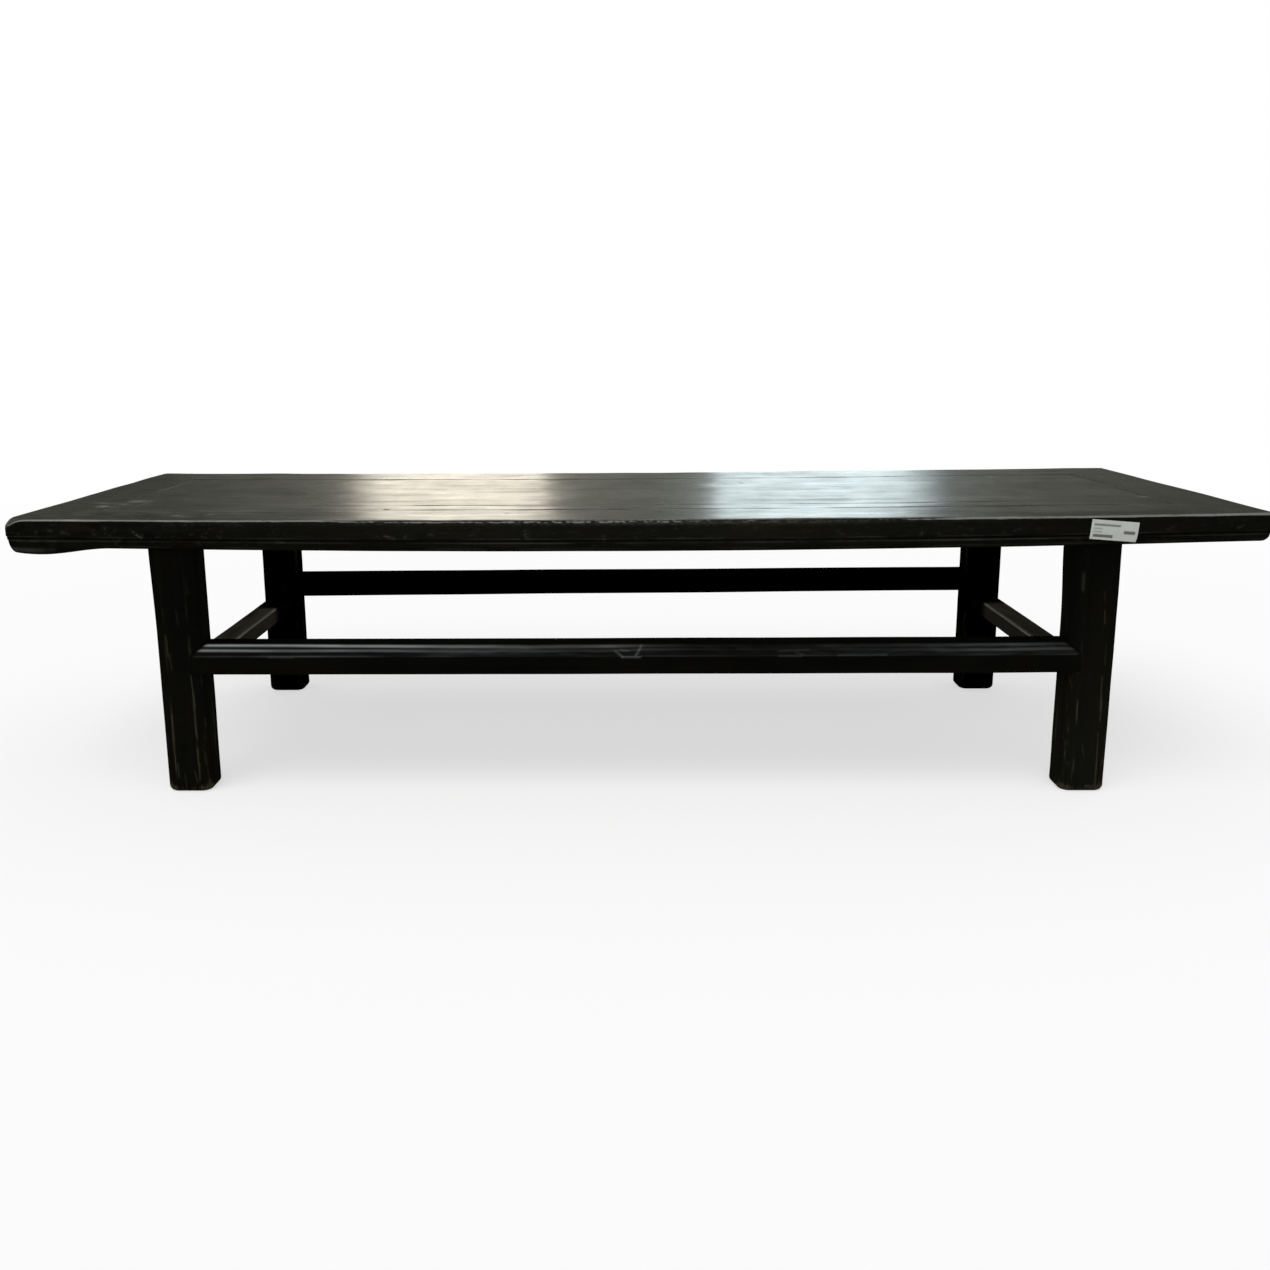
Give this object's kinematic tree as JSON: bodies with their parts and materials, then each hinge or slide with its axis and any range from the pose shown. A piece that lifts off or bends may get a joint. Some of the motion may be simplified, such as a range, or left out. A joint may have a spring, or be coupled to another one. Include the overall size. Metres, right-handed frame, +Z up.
{
  "type": "kang table",
  "caption": "Low rectangular table with a mitred frame and flush floating panel on four square legs joined by stretchers.",
  "frame": {"origin": "on the floor, midway between the ends and between the front and back edges of the top", "axes": "+X along the table's length to its right end, +Y from front to back, +Z up"},
  "size_m": [1.55, 0.5603, 0.36],
  "materials": {
    "black_lacquer_top": "worn black lacquer, half gloss",
    "black_lacquer_stand": "worn black lacquer, low gloss",
    "underside_wood": "thin dark stain, matt",
    "pin_wood": "bare, matt",
    "blank_paper": "matt"
  },
  "bodies": {
    "root": {"front_rail": "black_lacquer_top", "back_rail": "black_lacquer_top", "left_end_rail": "black_lacquer_top", "right_end_rail": "black_lacquer_top", "front_board": "black_lacquer_top", "middle_board": "black_lacquer_top", "back_board": "black_lacquer_top", "front_left_leg": "black_lacquer_stand", "front_right_leg": "black_lacquer_stand", "back_left_leg": "black_lacquer_stand", "back_right_leg": "black_lacquer_stand", "front_stretcher": "black_lacquer_stand", "back_stretcher": "black_lacquer_stand", "left_stretcher": "black_lacquer_stand", "right_stretcher": "black_lacquer_stand", "left_batten": "underside_wood", "middle_batten": "underside_wood", "right_batten": "underside_wood", "frame_corner_pins": "pin_wood", "long_stretcher_pins": "pin_wood", "side_stretcher_pins": "pin_wood", "paper_label": "blank_paper"}
  },
  "joints": []
}
